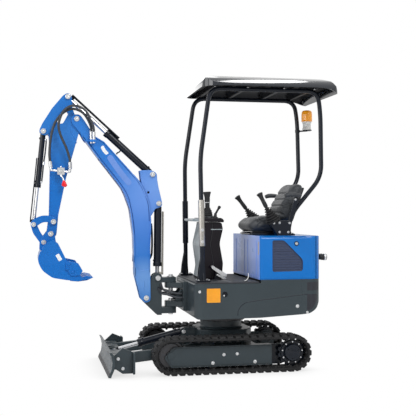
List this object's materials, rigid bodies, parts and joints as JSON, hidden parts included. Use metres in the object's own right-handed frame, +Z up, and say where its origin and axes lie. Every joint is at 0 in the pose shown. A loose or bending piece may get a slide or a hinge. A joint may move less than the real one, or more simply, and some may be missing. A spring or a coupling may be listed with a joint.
{
  "type": "mini excavator",
  "caption": "Tracked mini excavator with canopy, slewing house, swinging boom, arm, bucket and dozer blade, all on working joints.",
  "frame": {"origin": "on the ground at the middle of the parked machine's overall length and width; the slew axis is 318 mm behind it", "axes": "+X forward towards the dozer blade and bucket, +Y to the machine's left, +Z up"},
  "size_m": [2.2834, 0.93, 2.239],
  "materials": {
    "blue_paint": "satin",
    "slate_paint": "satin",
    "black_paint": "satin",
    "black_gloss": "gloss",
    "black_plastic": "matte",
    "rubber": "matte",
    "chrome": "polished",
    "zinc": "satin",
    "iron": "rough",
    "seat_vinyl": "grained",
    "amber": "translucent gloss",
    "white_plastic": "satin"
  },
  "bodies": {
    "undercarriage": {"car_body": "slate_paint", "slew_ring": "iron", "track_left": "rubber", "track_frame_left": "slate_paint", "sprocket_left": "black_paint", "idler_left": "iron", "track_right": "rubber", "track_frame_right": "slate_paint", "sprocket_right": "black_paint", "idler_right": "iron"},
    "blade": {"blade": "slate_paint"},
    "blade_ram_barrel": {"blade_ram_barrel": "black_paint"},
    "blade_ram_rod": {"blade_ram_rod": "chrome"},
    "house": {"house_frame": "slate_paint", "counterweight": "slate_paint", "floor_mat": "rubber", "engine_hood": "blue_paint", "engine_block": "iron", "seat_base": "black_paint", "seat_cushion": "seat_vinyl", "seat_back": "seat_vinyl", "seat_back_bracket": "black_paint", "control_console": "black_gloss", "travel_levers": "black_plastic", "blade_lever": "black_plastic", "canopy_roof": "black_gloss", "beacon_bracket": "black_paint", "beacon_base": "white_plastic", "beacon": "amber", "vent_mesh_left": "black_plastic", "joystick_console_left": "black_plastic", "joystick_left": "black_plastic", "foot_pedal_left": "zinc", "canopy_frame_left": "black_paint", "vent_mesh_right": "black_plastic", "joystick_console_right": "black_plastic", "joystick_right": "black_plastic", "foot_pedal_right": "zinc", "canopy_frame_right": "black_paint"},
    "rear_door": {"rear_door": "blue_paint", "rear_lamps": "black_plastic"},
    "swing_post": {"swing_post": "slate_paint"},
    "boom": {"boom": "blue_paint", "service_port": "zinc", "service_hose_front": "rubber", "service_hose_rear": "rubber"},
    "boom_ram_barrel": {"boom_ram_barrel": "black_paint"},
    "boom_ram_rod": {"boom_ram_rod": "chrome"},
    "arm": {"arm": "blue_paint", "service_valve": "zinc"},
    "arm_ram_barrel": {"arm_ram_barrel": "black_paint"},
    "arm_ram_rod": {"arm_ram_rod": "chrome"},
    "bucket_ram_barrel": {"bucket_ram_barrel": "black_paint"},
    "bucket_ram_rod": {"bucket_ram_rod": "chrome"},
    "bucket_rocker": {"bucket_rocker_left": "blue_paint", "bucket_rocker_right": "blue_paint"},
    "bucket": {"bucket": "blue_paint"},
    "bucket_link": {"bucket_link": "blue_paint"}
  },
  "joints": [
    {"name": "house_slew", "type": "hinge", "parent": "undercarriage", "child": "house", "pos_m": [-0.318, 0, 0.39], "axis": [0, 0, 1], "continuous": true},
    {"name": "blade_lift", "type": "hinge", "parent": "undercarriage", "child": "blade", "pos_m": [0.012, 0, 0.15], "axis": [0, -1, 0], "range_deg": [-20, 22]},
    {"name": "blade_ram_pivot", "type": "hinge", "parent": "undercarriage", "child": "blade_ram_barrel", "pos_m": [-0.018, 0, 0.262], "axis": [0, 1, 0], "range_deg": [-20.49, 18.62]},
    {"name": "blade_ram_slide", "type": "slide", "parent": "blade_ram_barrel", "child": "blade_ram_rod", "axis": [0.971, 0, -0.2391], "range_m": [-0.042, 0.0382]},
    {"name": "rear_door_hinge", "type": "hinge", "parent": "house", "child": "rear_door", "pos_m": [-0.964, -0.404, 0.845], "axis": [0, 0, 1], "range_deg": [0, 95]},
    {"name": "boom_swing", "type": "hinge", "parent": "house", "child": "swing_post", "pos_m": [0.077, 0, 0.547], "axis": [0, 0, 1], "range_deg": [-50, 50]},
    {"name": "boom_lift", "type": "hinge", "parent": "swing_post", "child": "boom", "pos_m": [0.273, 0, 0.527], "axis": [0, -1, 0], "range_deg": [-65, 3]},
    {"name": "boom_ram_pivot", "type": "hinge", "parent": "boom", "child": "boom_ram_barrel", "pos_m": [0.176, 0, 1.245], "axis": [0, 1, 0], "range_deg": [-0.3, 6.53]},
    {"name": "boom_ram_slide", "type": "slide", "parent": "boom_ram_barrel", "child": "boom_ram_rod", "axis": [0.0105, 0, -0.9999], "range_m": [-0.008, 0.1727]},
    {"name": "arm_joint", "type": "hinge", "parent": "boom", "child": "arm", "pos_m": [0.797, 0, 1.876], "axis": [0, 1, 0], "range_deg": [-112, 5], "deforming": ["service_hose_front", "service_hose_rear"]},
    {"name": "arm_ram_pivot", "type": "hinge", "parent": "boom", "child": "arm_ram_barrel", "pos_m": [0.224, 0, 1.466], "axis": [0, 1, 0], "range_deg": [-3.88, 0.17]},
    {"name": "arm_ram_slide", "type": "slide", "parent": "arm_ram_barrel", "child": "arm_ram_rod", "axis": [0.7423, 0, 0.6701], "range_m": [-0.2921, 0.0131]},
    {"name": "bucket_joint", "type": "hinge", "parent": "arm", "child": "bucket", "pos_m": [0.987, 0, 1.017], "axis": [0, 1, 0], "range_deg": [-100, 40]},
    {"name": "bucket_ram_pivot", "type": "hinge", "parent": "arm", "child": "bucket_ram_barrel", "pos_m": [1.042, 0, 1.78], "axis": [0, 1, 0], "range_deg": [-2.07, 5.17]},
    {"name": "bucket_ram_slide", "type": "slide", "parent": "bucket_ram_barrel", "child": "bucket_ram_rod", "axis": [0.1005, 0, -0.9949], "range_m": [-0.1458, 0.0583]},
    {"name": "rocker_pivot", "type": "hinge", "parent": "arm", "child": "bucket_rocker", "pos_m": [0.967, 0, 1.107], "axis": [0, 1, 0], "range_deg": [-64.43, 25.77]},
    {"name": "link_pivot", "type": "hinge", "parent": "bucket", "child": "bucket_link", "pos_m": [1.038, 0, 0.955], "axis": [0, 1, 0], "range_deg": [-29.62, 74.04]}
  ],
  "couplings": [
    {"joint": "blade_ram_pivot", "follows": "blade_lift", "ratio": -0.93026},
    {"joint": "blade_ram_slide", "follows": "blade_lift", "m_per_rad": -0.10923},
    {"joint": "boom_ram_pivot", "follows": "boom_lift", "ratio": -0.1004},
    {"joint": "boom_ram_slide", "follows": "boom_lift", "m_per_rad": -0.15199},
    {"joint": "arm_ram_pivot", "follows": "arm_joint", "ratio": 0.034606},
    {"joint": "arm_ram_slide", "follows": "arm_joint", "m_per_rad": 0.14927},
    {"joint": "bucket_ram_pivot", "follows": "bucket_joint", "ratio": -0.051688},
    {"joint": "bucket_ram_slide", "follows": "bucket_joint", "m_per_rad": 0.083407},
    {"joint": "rocker_pivot", "follows": "bucket_joint", "ratio": 0.64366},
    {"joint": "link_pivot", "follows": "bucket_joint", "ratio": -0.73967}
  ]
}
